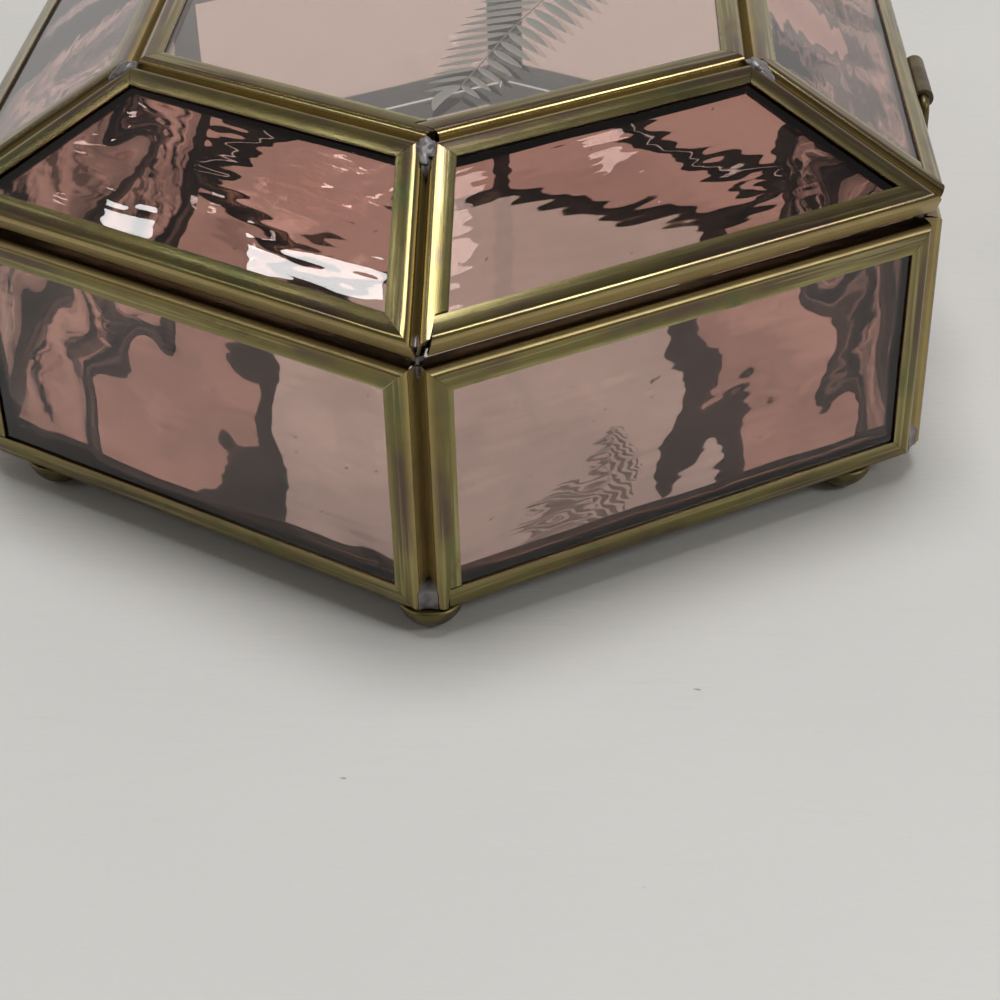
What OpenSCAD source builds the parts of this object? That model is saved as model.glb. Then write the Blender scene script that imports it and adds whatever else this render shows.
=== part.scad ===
// Glass casket box: a long hexagonal box of rose glass panes, each pane wrapped in its own
// brass came, soldered corner to corner, with a sloping lid hinged on one long side.
// Millimetres. +Z up, origin on the table under the middle of the box. The pointed ends look
// along +X and -X, the hinged long side is the back (+Y) and the lift tab is at the front (-Y).

/* [Plan] */
// Length of each of the four short sides, corner to corner on the outside
short_side = 70; // [50:1:100]
// Length of each of the two long sides, corner to corner on the outside
long_side = 142; // [90:1:200]

/* [Height] */
// Height of the wall panes
wall_h = 32.6; // [20:0.2:60]
// Open gap that shows between the walls' rim and the lid's cames
lid_gap = 1.4; // [1:0.1:2.5]
// Angle of the lid's sloping panes above level
slope_angle = 27; // [20:1:38]
// Length of the lid's sloping panes, measured up the slope
slope_len = 25.1; // [16:0.1:34]

/* [Glass and came] */
// Thickness of every pane
glass_t = 2.3; // [1.8:0.1:3.5]
// Thickness of the brass sheet that the cames are folded from
sheet_t = 0.35; // [0.25:0.05:0.5]
// Width of a came's flange, seen from the front
came_face = 2.9; // [2.2:0.1:5]
// Width of the flanges of the floor's came, narrow enough to hide behind the walls' cames
floor_face = 1.2; // [1.1:0.05:2.9]
// Outside radius of a came's bends
bend_r = 0.6; // [0.4:0.05:0.8]
// Clearance between a pane's face and the flange over it
glass_fit = 0.05; // [0.03:0.01:0.1]
// Clearance between a pane's edge and the web of its came
edge_fit = 0.2; // [0.1:0.05:0.4]
// Gap left between the bends of two cames that meet at a corner
corner_gap = 0.1; // [0.05:0.05:0.3]

/* [Feet] */
// Height of a foot under the walls
foot_h = 3.5; // [2:0.1:5]
// Radius of a foot where it meets the walls
foot_r = 4; // [3:0.1:4.5]
// Radius of the flat that a foot stands on
foot_flat_r = 1.2; // [0.8:0.1:2]
// Distance of an end foot's middle from the pointed end's outside corner
foot_inset = 4.6; // [4.6:0.1:9]
// Distance of a side foot's middle from its corner, along the short side
foot_along = 9.5; // [6:0.5:14]
// Distance of a side foot's middle from the wall's outside face
foot_deep = 4.1; // [4:0.1:6]

/* [Hinges] */
// Outside radius of a hinge tube
tube_r = 1.3; // [1.1:0.05:1.6]
// Length of a hinge tube
tube_len = 11; // [6:0.5:18]
// Radius of the hinge wire
wire_r = 0.65; // [0.5:0.05:0.8]
// Radial clearance between the wire and the bore of its tube
wire_fit = 0.05; // [0.02:0.01:0.09]
// Radius of the wire's elbows, along its centre line
elbow_r = 1.4; // [1.1:0.1:2.2]
// Gap between a tube's end and the elbow beside it
tube_end_gap = 0.2; // [0.1:0.05:0.5]
// Gap between the wire's legs and the wall's face, filled with solder
leg_gap = 0.05; // [0.02:0.01:0.1]
// Gap between a tube and the came that it is soldered to
tube_gap = 0.02; // [0.01:0.01:0.05]

/* [Lift tab] */
// Width of the lift tab
tab_w = 9; // [6:0.5:16]
// Thickness of the lift tab
tab_t = 0.6; // [0.4:0.1:0.8]
// Gap between the tab and the front wall
tab_gap = 0.3; // [0.3:0.05:0.6]
// Distance that the tab hangs below the walls' rim
tab_drop = 7; // [4:0.5:12]

/* [Solder] */
// Length of a solder joint along its seam
solder_len = 3.4; // [2:0.1:6]
// Depth of a solder joint's skin below the faces beside it
solder_depth = 0.9; // [0.8:0.05:1.2]
// Radius of the solder bumps on the rim that the lid rests on
bump_r = 1.2; // [0.8:0.05:1.5]
// Play between the closed lid and its bumps
rest_play = 0.05; // [0.02:0.01:0.1]

/* [Hidden] */
SIDES = ["back_right", "back", "back_left", "front_left", "front", "front_right"];
POINTS = ["right", "back_right", "back_left", "left", "front_left", "front_right"];
HINGES = ["right", "left"];
$fn = 48;

// Six equal corners, so neighbouring sides turn by 60 degrees
turn = 60;
half_w = short_side * sin(turn);
half_l = long_side / 2 + short_side * cos(turn);
CORNERS = [
    [half_l, 0], [long_side / 2, half_w], [-long_side / 2, half_w],
    [-half_l, 0], [-long_side / 2, -half_w], [long_side / 2, -half_w]
];

// Thickness of a came over its glass, and the room between its flanges
came_t = glass_t + 2 * (glass_fit + sheet_t);
pocket_t = came_t - 2 * sheet_t;
// Depths between which a came's web is flat
web_top = bend_r;
web_low = came_t - bend_r;

rim_z = foot_h + wall_h;
// How far the lowest bend of a sloping came lies under its outside edge
slope_drop = web_low * cos(slope_angle) - bend_r * sin(slope_angle) + bend_r;
lid_z = rim_z + lid_gap + slope_drop;
// Angle between two neighbouring sloping panes, and the elevation of the hip between them
hip_turn = acos(pow(sin(slope_angle), 2) * cos(turn) + pow(cos(slope_angle), 2));
hip_rise = atan(tan(slope_angle) * sin(turn));
// Half of what a sloping pane loses in width for each unit up the slope
slope_taper = cos(slope_angle) / tan(turn);
ridge_end = seam_end(slope_angle);
// Length up the slope to the line where the outside faces of the slope and the top meet
ridge_len = slope_len + ridge_end;
ridge_inset = ridge_len * cos(slope_angle);
top_z = lid_z + ridge_len * sin(slope_angle);
hip_len = ridge_len * sin(slope_angle) / sin(hip_rise);

// The sphere that a foot is cut from
foot_ball_z = (pow(foot_r, 2) + pow(foot_h, 2) - pow(foot_flat_r, 2)) / (2 * foot_h);
foot_ball_r = sqrt(pow(foot_flat_r, 2) + pow(foot_ball_z, 2));

// The hinge line touches the slope's web and clears the wall's face by the wire's leg
hinge_y = half_w + leg_gap + wire_r;
hinge_z = lid_z + (cos(slope_angle) * (hinge_y - half_w) - tube_r - tube_gap) / sin(slope_angle);
hinge_x = long_side / 4;
leg_x = tube_len / 2 + tube_end_gap + elbow_r;
leg_end_z = rim_z - came_face;
// The tab stands out as far as the hinges do, so the box is as deep in front as behind
tab_reach = hinge_y + tube_r - half_w;
curl_r = tab_reach - tab_gap - tab_t;

// Where foot i stands, seen from its corner: each side foot lies beside a short side
function foot_spot(i) =
    i % 3 == 0 ? [-foot_inset, 0]
    : [
        -foot_along * cos(turn) - foot_deep * sin(turn),
        (i % 3 == 1 ? -1 : 1) * (foot_along * sin(turn) - foot_deep * cos(turn))
    ];

function facing(i) = turn / 2 + turn * i;
function side_mid(i) = (CORNERS[i] + CORNERS[(i + 1) % 6]) / 2;
function side_len(i) = norm(CORNERS[(i + 1) % 6] - CORNERS[i]);
function unit(v) = v / norm(v);

// How far a came's edge stays back from the line where the outside faces of two neighbours
// would meet, so that their bends pass at the corner gap
function seam_end(angle) =
    (bend_r + corner_gap / 2 + web_low * sin(angle / 2)) / cos(angle / 2) - bend_r;

// A convex outline, counter-clockwise, drawn in by d on every side
function inset(pts, d) = [
    for (k = [0 : len(pts) - 1])
        let (
            u = unit(pts[k] - pts[(k + len(pts) - 1) % len(pts)]),
            v = unit(pts[(k + 1) % len(pts)] - pts[k])
        )
        pts[k] + (v - u) * d / cross(u, v)
];

// Outlines of the cames, seen from outside, with the middle of the lower edge at the origin
function wall_outline(i) =
    let (w = side_len(i) / 2 - seam_end(turn))
    [[-w, 0], [w, 0], [w, wall_h], [-w, wall_h]];
function slope_outline(i) =
    let (
        low = side_len(i) / 2 - seam_end(hip_turn) * sqrt(1 + pow(slope_taper, 2)),
        high = low - slope_len * slope_taper
    )
    [[-low, 0], [low, 0], [high, slope_len], [-high, slope_len]];
function top_outline() = inset(CORNERS, ridge_inset + ridge_end);
function floor_outline() = inset(CORNERS, came_t + corner_gap / 2);

// Stands a pane drawn flat on side i: x along the side, y up the pane, z out of the box
module on_side(i, z, tilt)
    translate([side_mid(i)[0], side_mid(i)[1], z])
        rotate([0, 0, facing(i) + 90])
            rotate([tilt, 0, 0])
                children();

// Lays a shape along the seam at corner i: z up the seam, x out of the box
module on_seam(i, z, rise)
    translate([CORNERS[i][0], CORNERS[i][1], z])
        rotate([0, 0, turn * i])
            rotate([0, rise - 90, 0])
                children();

// Points round a bend in section, from the web at 0 degrees to the flange at 90
function bend_point(a) = bend_r * [1 - cos(a), sin(a) - 1];

// What rounds one bend, along x: it leaves three narrow flats between web and flange
module bend_cutter(length) {
    below = 2 * bend_point(0) - bend_point(30);
    above = 2 * bend_point(90) - bend_point(60);
    translate([-came_t, 0, 0])
        rotate([90, 0, 90])
            linear_extrude(length + 2 * came_t)
                polygon([below, bend_point(30), bend_point(60), above, [below[0], above[1]]]);
}

// A came folded round one pane: U-shaped in section, mitred at its corners, outside face at z = 0
module came(pts, face = came_face)
    color("darkkhaki")
        difference() {
            translate([0, 0, -came_t])
                linear_extrude(came_t)
                    polygon(pts);
            translate([0, 0, -2 * came_t])
                linear_extrude(3 * came_t)
                    polygon(inset(pts, face));
            translate([0, 0, sheet_t - came_t])
                linear_extrude(pocket_t)
                    polygon(inset(pts, sheet_t));
            for (k = [0 : len(pts) - 1])
                let (edge = pts[(k + 1) % len(pts)] - pts[k])
                translate([pts[k][0], pts[k][1], 0])
                    rotate([0, 0, atan2(edge[1], edge[0])]) {
                        bend_cutter(norm(edge));
                        translate([0, 0, -came_t])
                            mirror([0, 0, 1])
                                bend_cutter(norm(edge));
                    }
        }

// The pane inside a came with this outline
module pane(pts, shade)
    color(shade)
        translate([0, 0, -(came_t + glass_t) / 2])
            linear_extrude(glass_t)
                polygon(inset(pts, sheet_t + edge_fit));

module wall_glass(i) on_side(i, foot_h, 90) pane(wall_outline(i), "rosybrown");
module wall_came(i) on_side(i, foot_h, 90) came(wall_outline(i));
module lid_glass(i) on_side(i, lid_z, slope_angle) pane(slope_outline(i), "rosybrown");
module lid_came(i) on_side(i, lid_z, slope_angle) came(slope_outline(i));
module top_glass() translate([0, 0, top_z]) pane(top_outline(), "mistyrose");
module top_came() translate([0, 0, top_z]) came(top_outline());
module floor_mirror() translate([0, 0, foot_h + came_t]) pane(floor_outline(), "silver");
module floor_came() translate([0, 0, foot_h + came_t]) came(floor_outline(), floor_face);

// A low dome with a worn flat underneath
module foot(i)
    color("darkkhaki")
        intersection() {
            on_seam(i, 0, 90)
                translate([foot_spot(i)[0], foot_spot(i)[1], foot_ball_z])
                    sphere(r = foot_ball_r);
            translate([-half_l, -half_w, 0])
                cube([2 * half_l, 2 * half_w, foot_h]);
        }

// Section of the solder that fills the groove between two cames that turn by this angle
module groove(angle) {
    back = seam_end(angle);
    function web(depth, way) = [
        -back * sin(angle / 2) - depth * cos(angle / 2),
        way * (back * cos(angle / 2) - depth * sin(angle / 2))
    ];
    polygon([web(solder_depth, 1), web(web_low, 1), web(web_low, -1), web(solder_depth, -1)]);
}

// Solder at the top and bottom of each upright seam, bumps for the lid, and the hinge legs' joints
module wall_solder()
    color("dimgray") {
        for (i = [0 : 5])
            on_seam(i, 0, 90) {
                translate([0, 0, foot_h + bend_r])
                    linear_extrude(solder_len)
                        groove(turn);
                translate([0, 0, rim_z - solder_len])
                    linear_extrude(solder_len)
                        groove(turn);
                translate([-(web_top + web_low) / 2 / cos(turn / 2), 0, rim_z])
                    cylinder(r = bump_r, h = lid_gap - rest_play);
            }
        for (x = [-hinge_x, hinge_x], side = [-1, 1])
            leg_joint(x + side * leg_x);
    }

// Solder that holds one leg of a hinge wire to the back wall's came
module leg_joint(x)
    difference() {
        translate([x - 2 * wire_r, half_w, leg_end_z])
            cube([4 * wire_r, leg_gap + wire_r, came_face - bend_r]);
        translate([x, hinge_y, leg_end_z - wire_r])
            cylinder(r = wire_r, h = came_face + wire_r);
    }

// Solder at the foot and the head of each hip, and behind the lift tab
module lid_solder()
    color("dimgray") {
        for (i = [0 : 5])
            on_seam(i, lid_z, hip_rise) {
                translate([0, 0, came_t])
                    linear_extrude(solder_len)
                        groove(hip_turn);
                translate([0, 0, hip_len - solder_len - came_t])
                    linear_extrude(solder_len)
                        groove(hip_turn);
            }
        mirror([0, 1, 0])
            translate([-(tab_w - 2 * tab_t) / 2, half_w, lid_z])
                rotate([90, 0, 90])
                    linear_extrude(tab_w - 2 * tab_t)
                        polygon([
                            for (depth = [web_top, web_low])
                                depth * [-sin(slope_angle), -cos(slope_angle)],
                            for (depth = [web_low, web_top])
                                [tab_gap, -depth * cos(slope_angle)]
                        ]);
    }

// Strip under the lid's front came that hangs over the front wall and curls outwards
module lift_tab() {
    curl_z = rim_z - tab_drop + curl_r + tab_t;
    color("darkkhaki")
        mirror([0, 1, 0])
            translate([-tab_w / 2, half_w, 0])
                rotate([90, 0, 90])
                    linear_extrude(tab_w) {
                        translate([tab_gap, curl_z])
                            square([tab_t, lid_z - curl_z]);
                        translate([tab_gap + tab_t + curl_r, curl_z])
                            intersection() {
                                difference() {
                                    circle(r = curl_r + tab_t);
                                    circle(r = curl_r);
                                }
                                translate([-2 * tab_reach, -2 * tab_reach])
                                    square(2 * tab_reach);
                            }
                    }
}

// Tube soldered along the lid's back came
module hinge_tube(side)
    color("darkkhaki")
        translate([side * hinge_x - tube_len / 2, hinge_y, hinge_z])
            rotate([0, 90, 0])
                difference() {
                    cylinder(r = tube_r, h = tube_len);
                    translate([0, 0, -tube_r])
                        cylinder(r = wire_r + wire_fit, h = tube_len + 2 * tube_r);
                }

// Wire through a tube, with both ends turned down the back wall
module hinge_wire(side)
    color("goldenrod")
        translate([side * hinge_x, hinge_y, 0]) {
            translate([elbow_r - leg_x, 0, hinge_z])
                rotate([0, 90, 0])
                    cylinder(r = wire_r, h = 2 * (leg_x - elbow_r));
            for (way = [0, 1])
                mirror([way, 0, 0]) {
                    translate([leg_x - elbow_r, 0, hinge_z - elbow_r])
                        rotate([90, 0, 0])
                            rotate_extrude(angle = 90)
                                translate([elbow_r, 0])
                                    circle(r = wire_r);
                    translate([leg_x, 0, leg_end_z])
                        cylinder(r = wire_r, h = hinge_z - elbow_r - leg_end_z);
                }
        }

for (i = [0 : 5]) {
    wall_glass(i);
    wall_came(i);
    lid_glass(i);
    lid_came(i);
    foot(i);
}
for (k = [0, 1]) {
    hinge_tube(1 - 2 * k);
    hinge_wire(1 - 2 * k);
}
floor_mirror();
floor_came();
wall_solder();
top_glass();
top_came();
lid_solder();
lift_tab();
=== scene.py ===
"""Dresses a hexagonal glass casket box: folded cames, rolled rose glass, an etched top and solder."""

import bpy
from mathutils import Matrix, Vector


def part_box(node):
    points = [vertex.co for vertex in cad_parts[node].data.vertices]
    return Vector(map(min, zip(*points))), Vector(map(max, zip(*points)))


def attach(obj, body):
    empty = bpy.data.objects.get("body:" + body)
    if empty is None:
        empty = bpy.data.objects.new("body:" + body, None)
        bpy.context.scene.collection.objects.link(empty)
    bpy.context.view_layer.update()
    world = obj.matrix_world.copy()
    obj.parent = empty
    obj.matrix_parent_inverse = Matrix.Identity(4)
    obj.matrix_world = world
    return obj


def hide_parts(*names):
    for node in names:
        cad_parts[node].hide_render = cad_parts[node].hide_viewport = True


bl_info = {
    "name": "Glass Casket Box",
    "version": (1, 0, 0),
    "blender": (4, 5, 0),
    "location": "View3D > Sidebar > Casket",
    "description": "Folded brass cames, rolled rose glass, an etched clear top, solder, feet and hinges",
    "category": "Mesh",
}

import math
from collections import namedtuple

import bmesh
import bpy
from bpy.props import FloatProperty, FloatVectorProperty, IntProperty, PointerProperty
from mathutils import Matrix, Vector, noise

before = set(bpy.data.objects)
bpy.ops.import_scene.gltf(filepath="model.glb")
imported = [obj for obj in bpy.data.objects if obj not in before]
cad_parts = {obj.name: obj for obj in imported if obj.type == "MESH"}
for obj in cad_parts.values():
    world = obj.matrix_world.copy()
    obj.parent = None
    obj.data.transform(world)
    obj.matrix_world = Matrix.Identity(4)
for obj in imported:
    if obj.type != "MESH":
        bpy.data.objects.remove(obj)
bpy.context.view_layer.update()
WALL_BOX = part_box("wall_came_front")

MM = 0.001
TURN = math.radians(60)
SIDES = ("back_right", "back", "back_left", "front_left", "front", "front_right")
POINTS = ("right", "back_right", "back_left", "left", "front_left", "front_right")
# How far a dressed came or rolled pane may stay inside its solid's box, with its rounder bends or its waves
CAME_SLACK, ROLLED_SLACK = 0.5 * MM, 1.2 * MM
BUBBLE_DEPTH, BUBBLE_WIDTH = 0.9 * MM, 0.16 * MM
# Marks along the frond's stem on the top pane, in millimetres, from its foot to its tip
STEM_MARKS = ((3, 24.5), (14, 21.6), (27, 16.8), (39.8, 11.7), (49.8, 7.9), (58.5, 5.2), (65.0, 3.1))
# Seeds of single panes, where the waves suit the near end better than those of their turn
OWN_SEEDS = {"wall_glass_back_right": 23, "lid_glass_back_right": 98, "lid_glass_front_right": 114}

Pane = namedtuple("Pane", "part side outline place body face")


# Sizes and colours


def number(name, description, default, **more):
    return FloatProperty(name=name, description=description, default=default, **more)


def length(name, description, default):
    """A size in metres, given in millimetres."""
    return number(name, description, default * MM, min=0.0, unit="LENGTH", precision=5)


def angle(name, description, default):
    """An angle, given in degrees."""
    return number(name, description, math.radians(default), subtype="ANGLE")


def colour(name, description, default):
    return FloatVectorProperty(
        name=name, description=description, default=default, size=3, min=0, max=1, subtype="COLOR"
    )


class CasketPlan(bpy.types.PropertyGroup):
    """Where the panes stand, as in the frame."""

    short_side: length("Short side", "Each of the four short sides, corner to corner", 70)
    long_side: length("Long side", "Each of the two long sides, corner to corner", 142)
    wall_low: number("Wall foot", "Height of the walls' lower edge", WALL_BOX[0].z, unit="LENGTH")
    wall_high: number("Wall rim", "Height of the walls' upper edge", WALL_BOX[1].z, unit="LENGTH")
    lid_gap: length("Lid gap", "Open gap between the rim and the lid's cames", 1.4)
    slope_angle: angle("Slope", "Angle of the lid's sloping panes", 27)
    slope_length: length("Slope length", "Length of the sloping panes up the slope", 25.1)
    corner_gap: length("Corner gap", "Gap between the bends of two cames at a corner", 0.1)


class CasketCame(bpy.types.PropertyGroup):
    """The folded brass strip round each pane."""

    glass: length("Glass", "Thickness of a pane", 2.3)
    sheet: length("Sheet", "Thickness of the brass sheet", 0.35)
    clearance: length("Clearance", "Room between a pane's face and the flange over it", 0.05)
    edge_room: length("Edge room", "Room between a pane's edge and the web of its came", 0.2)
    face: length("Face", "Width of a flange", 2.9)
    floor_face: length("Floor face", "Width of a flange of the floor's came", 1.2)
    bend: length("Bend", "Outside radius of a bend, as it sets the panes apart", 0.6)
    outer_bend: length("Outer bend", "Outside radius of the bends outside the box, as they are dressed", 1.0)
    inner_bend: length("Inner bend", "Outside radius of the bends inside the box", 0.28)
    flare: length("Flare", "How far the inner edge of the rim stands over its outer edge", 0.28)
    crown: length("Crown", "How far a flange is domed", 0.05)
    mitre_gap: length("Mitre gap", "Slit between two mitred flanges", 0.07)
    lap: length("Lap", "Width of the tongue left at the corner where the strip's ends meet", 1.25)
    lap_gap: length("Lap gap", "Open slit beside that tongue", 0.22)
    wobble: length("Wobble", "How far a flange strays from flat along its length", 0.018)
    step: length("Step", "Spacing of the sections along a strip", 2.2)


class CasketGlass(bpy.types.PropertyGroup):
    """Rolled glass and the etched frond."""

    grid: length("Grid", "Spacing of the points up a rolled pane; five times as far apart along it", 0.21)
    lid_share: number("Lid share", "Share of the middle waves that the lid's panes have", 0.3)
    swell: length("Swell", "Height of the broad waves", 1.9)
    swell_span: length("Swell span", "Length of the broad waves", 21)
    wave: length("Wave", "Height of the middle waves", 0.95)
    wave_span: length("Wave span", "Length of the middle waves", 10.5)
    ripple: length("Ripple", "Height of the short waves", 0.06)
    ripple_span: length("Ripple span", "Length of the short waves", 1.2)
    seed: IntProperty(name="Seed", description="Seed of the waves", default=7)
    bubbles: number("Bubbles", "Drawn-out bubbles to a square millimetre of a face", 0.011)
    bubble: length("Bubble", "Length of the longest bubble", 0.7)
    leaflets: IntProperty(name="Leaflets", description="Leaflets on each side of the frond", default=25, min=3)
    leaflet_length: length("Leaflet length", "Length of the longest leaflets", 10)
    leaflet_width: length("Leaflet width", "Width of the longest leaflets", 1.9)
    leaflet_lean: angle("Leaflet lean", "Angle of the leaflets to the stem", 50)
    etch_depth: length("Etch depth", "Depth of the etching along a leaflet's middle", 0.14)


class CasketFinish(bpy.types.PropertyGroup):
    """Colours of the finishes."""

    rose: colour("Rose", "Tint of one rolled pane", (0.725, 0.53, 0.48))
    clear: colour("Clear", "Tint of the clear top", (0.93, 0.92, 0.90))
    brass: colour("Brass", "Antiqued brass where it is clean", (0.190, 0.158, 0.063))
    # Real brown stains on the brass, and also the painted shade on the rim's webs under the lid
    tarnish_and_shade: colour("Tarnish", "Brown tarnish in the folds", (0.105, 0.075, 0.048))
    violet: colour("Violet", "Purple-grey bloom on the flanges", (0.128, 0.092, 0.067))
    verdigris: colour("Verdigris", "Green bloom on the flanges", (0.125, 0.142, 0.065))
    gold: colour("Gold", "Clean bright streaks", (0.46, 0.41, 0.20))
    web: colour("Web", "Cleaner brass of the webs, down in the seams", (0.42, 0.32, 0.13))
    # Painted shade: the near-black colour laid where the box's dark inside shades the brass, on the flanges inside
    # the box, the floor's came and the sheet's inside faces
    shade: colour("Shade", "Blackened inside of the folds", (0.042, 0.030, 0.022))
    solder: colour("Solder", "Dull tin solder", (0.25, 0.235, 0.235))


class CasketStage(bpy.types.PropertyGroup):
    """The table, the light and the camera."""

    lens: number("Lens", "Focal length on a 36 mm square", 76.30)
    eye: FloatVectorProperty(
        name="Eye", description="Place of the camera", default=(0.29767, 0.01989, 0.15530), subtype="TRANSLATION"
    )
    yaw: angle("Yaw", "Turn from straight down the box", -3.3423)
    pitch: angle("Pitch", "Tilt below level", 35.1174)
    roll: angle("Roll", "Roll about the view", -1.5893)
    table: colour("Table", "Pale paint of the table", (0.72, 0.715, 0.69))
    horizon: number("Horizon", "Strength of the light round the horizon", 0.80, min=0)
    zenith: number("Zenith", "Strength of the light overhead", 0.20, min=0)
    near: number("Near", "Share of that light on the side of the camera", 0.24, min=0)
    key: number("Key", "Power of the large light overhead, in watts", 14.5, min=0)
    window: number("Window", "Power of the window at the side, in watts", 3.6, min=0)
    skylight: number("Skylight", "Power of the small lamp behind, in watts", 0.085, min=0)


# Where each pane lies


def at(x, y, z):
    return Matrix.Translation((x, y, z))


def on_circle(angle):
    return Vector((math.cos(angle), math.sin(angle)))


def corners(plan):
    """The six outside corners in plan, from the right-hand point round to the left."""
    x = plan.long_side / 2
    point = x + plan.short_side * math.cos(TURN)
    y = plan.short_side * math.sin(TURN)
    return [Vector(p) for p in ((point, 0), (x, y), (-x, y), (-point, 0), (-x, -y), (x, -y))]


def came_depth(came):
    """Thickness of a came over its pane."""
    return came.glass + 2 * (came.clearance + came.sheet)


def seam_end(angle, plan, came):
    """How far a came's edge stays back from the line where two outside faces would meet."""
    web_low = came_depth(came) - came.bend
    return (came.bend + plan.corner_gap / 2 + web_low * math.sin(angle / 2)) / math.cos(angle / 2) - came.bend


def inset(points, by):
    """A convex outline, counter-clockwise, drawn in on every side."""
    drawn = []
    for k, point in enumerate(points):
        u = (point - points[k - 1]).normalized()
        v = (points[(k + 1) % len(points)] - point).normalized()
        drawn.append(point + (v - u) * by / (u.x * v.y - u.y * v.x))
    return drawn


def lid_height(plan, came):
    """Height of the outside edge of the lid's sloping cames."""
    slope = plan.slope_angle
    web_low = came_depth(came) - came.bend
    drop = web_low * math.cos(slope) - came.bend * math.sin(slope) + came.bend
    return plan.wall_high + plan.lid_gap + drop


def hip_turn(plan):
    """Angle between two neighbouring sloping panes."""
    slope = plan.slope_angle
    return math.acos(math.sin(slope) ** 2 * math.cos(TURN) + math.cos(slope) ** 2)


def side_place(plan, i, height, tilt):
    """Stands a pane that is drawn flat on side i: x along the side, y up the pane, z out of the box."""
    ends = corners(plan)
    middle = (ends[i] + ends[(i + 1) % 6]) / 2
    facing = TURN / 2 + TURN * i
    return (
        at(middle.x, middle.y, height)
        @ Matrix.Rotation(facing + math.pi / 2, 4, "Z")
        @ Matrix.Rotation(tilt, 4, "X")
    )


def ridge(plan, came):
    """Distance in from the sides, and height, of the edge round the lid's flat top."""
    along = plan.slope_length + seam_end(plan.slope_angle, plan, came)
    return along * math.cos(plan.slope_angle), lid_height(plan, came) + along * math.sin(plan.slope_angle)


def all_panes(plan, came):
    """Every pane with its outline, seen from outside with the middle of its lower edge at the origin."""
    ends = corners(plan)
    slope = plan.slope_angle
    taper = math.cos(slope) / math.tan(TURN)
    panes = []

    def trapezium(low, high, tall):
        return [Vector(p) for p in ((-low, 0), (low, 0), (high, tall), (-high, tall))]

    for i, side in enumerate(SIDES):
        span = (ends[(i + 1) % 6] - ends[i]).length / 2
        wide = span - seam_end(TURN, plan, came)
        wall = trapezium(wide, wide, plan.wall_high - plan.wall_low)
        place = side_place(plan, i, plan.wall_low, math.pi / 2)
        panes.append(Pane("wall", side, wall, place, "casket", came.face))
        low = span - seam_end(hip_turn(plan), plan, came) * math.sqrt(1 + taper ** 2)
        lid = trapezium(low, low - plan.slope_length * taper, plan.slope_length)
        place = side_place(plan, i, lid_height(plan, came), slope)
        panes.append(Pane("lid", side, lid, place, "lid", came.face))
    inward, top = ridge(plan, came)
    roof = inset(ends, inward + seam_end(slope, plan, came))
    panes.append(Pane("top", "", roof, at(0, 0, top), "lid", came.face))
    depth = came_depth(came)
    base = inset(ends, depth + plan.corner_gap / 2)
    panes.append(Pane("floor", "", base, at(0, 0, plan.wall_low + depth), "casket", came.floor_face))
    return panes


def node_name(pane, kind):
    return "_".join(word for word in (pane.part, kind, pane.side) if word)


# Making meshes


def check_fit(piece, node, slack):
    """Raises an error if a piece doesn't fill the space of the node that it stands for."""
    points = [v.co for v in piece.data.vertices]
    low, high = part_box(node)
    for axis in range(3):
        ends = min(p[axis] for p in points), max(p[axis] for p in points)
        if abs(ends[0] - low[axis]) > slack or abs(ends[1] - high[axis]) > slack:
            raise RuntimeError(f"{piece.name} spans {ends} on axis {axis}, and {node} {low[axis], high[axis]}")


def add_object(name, bm, material, smooth_below=38):
    """An object at the origin from a bmesh, shaded smooth but for its sharp edges."""
    mesh = bpy.data.meshes.new(name)
    bm.to_mesh(mesh)
    bm.free()
    mesh.materials.append(material)
    soften(mesh, smooth_below)
    piece = bpy.data.objects.new(name, mesh)
    bpy.context.scene.collection.objects.link(piece)
    return piece


def soften(mesh, smooth_below):
    mesh.shade_smooth()
    mesh.set_sharp_from_angle(angle=math.radians(smooth_below))


def turn_outwards(bm):
    bmesh.ops.recalc_face_normals(bm, faces=bm.faces)


def bake(piece, modifier):
    """Keeps what a modifier makes as the piece's plain mesh."""
    bpy.context.view_layer.update()
    made = bpy.data.meshes.new_from_object(piece.evaluated_get(bpy.context.evaluated_depsgraph_get()))
    piece.modifiers.remove(modifier)
    piece.data = made


def settle(piece, body, node, slack=0.3 * MM):
    """Puts a finished piece under its body and hides the node's solid that it stands in for. With a slack, it first
    has to fill the node's box.
    """
    if slack is not None:
        check_fit(piece, node, slack)
    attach(piece, body)
    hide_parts(node)


def apply_tree(piece, tree, inputs):
    """Runs a Geometry Nodes tree on a piece with these inputs and keeps its result as a plain mesh."""
    modifier = piece.modifiers.new(tree.name, "NODES")
    modifier.node_group = tree
    for item in tree.interface.items_tree:
        if item.item_type == "SOCKET" and item.in_out == "INPUT" and item.name in inputs:
            modifier[item.identifier] = inputs[item.name]
    bake(piece, modifier)


# Nodes


def both_ways(operation):
    """An operator and its reflected form, as Math nodes."""
    return (
        lambda self, other: self.nodes.maths(operation, self, other),
        lambda self, other: self.nodes.maths(operation, other, self),
    )


class Value:
    """A node's output that adds a Math node when it is used in an expression."""

    def __init__(self, nodes, socket):
        self.nodes = nodes
        self.socket = socket

    __add__, __radd__ = both_ways("ADD")
    __sub__, __rsub__ = both_ways("SUBTRACT")
    __mul__, __rmul__ = both_ways("MULTIPLY")
    __truediv__, __rtruediv__ = both_ways("DIVIDE")

    def between(self, low, high, start=0.0, stop=1.0):
        """One value below low, another above high and smooth in between."""
        sockets = {"Value": self, "From Min": low, "From Max": high, "To Min": start, "To Max": stop}
        return self.nodes.add("ShaderNodeMapRange", sockets, interpolation_type="SMOOTHSTEP")

    def parts(self):
        """The x, y and z of a vector."""
        return [self.nodes.add("ShaderNodeSeparateXYZ", {"Vector": self}, output=k) for k in range(3)]


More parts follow.
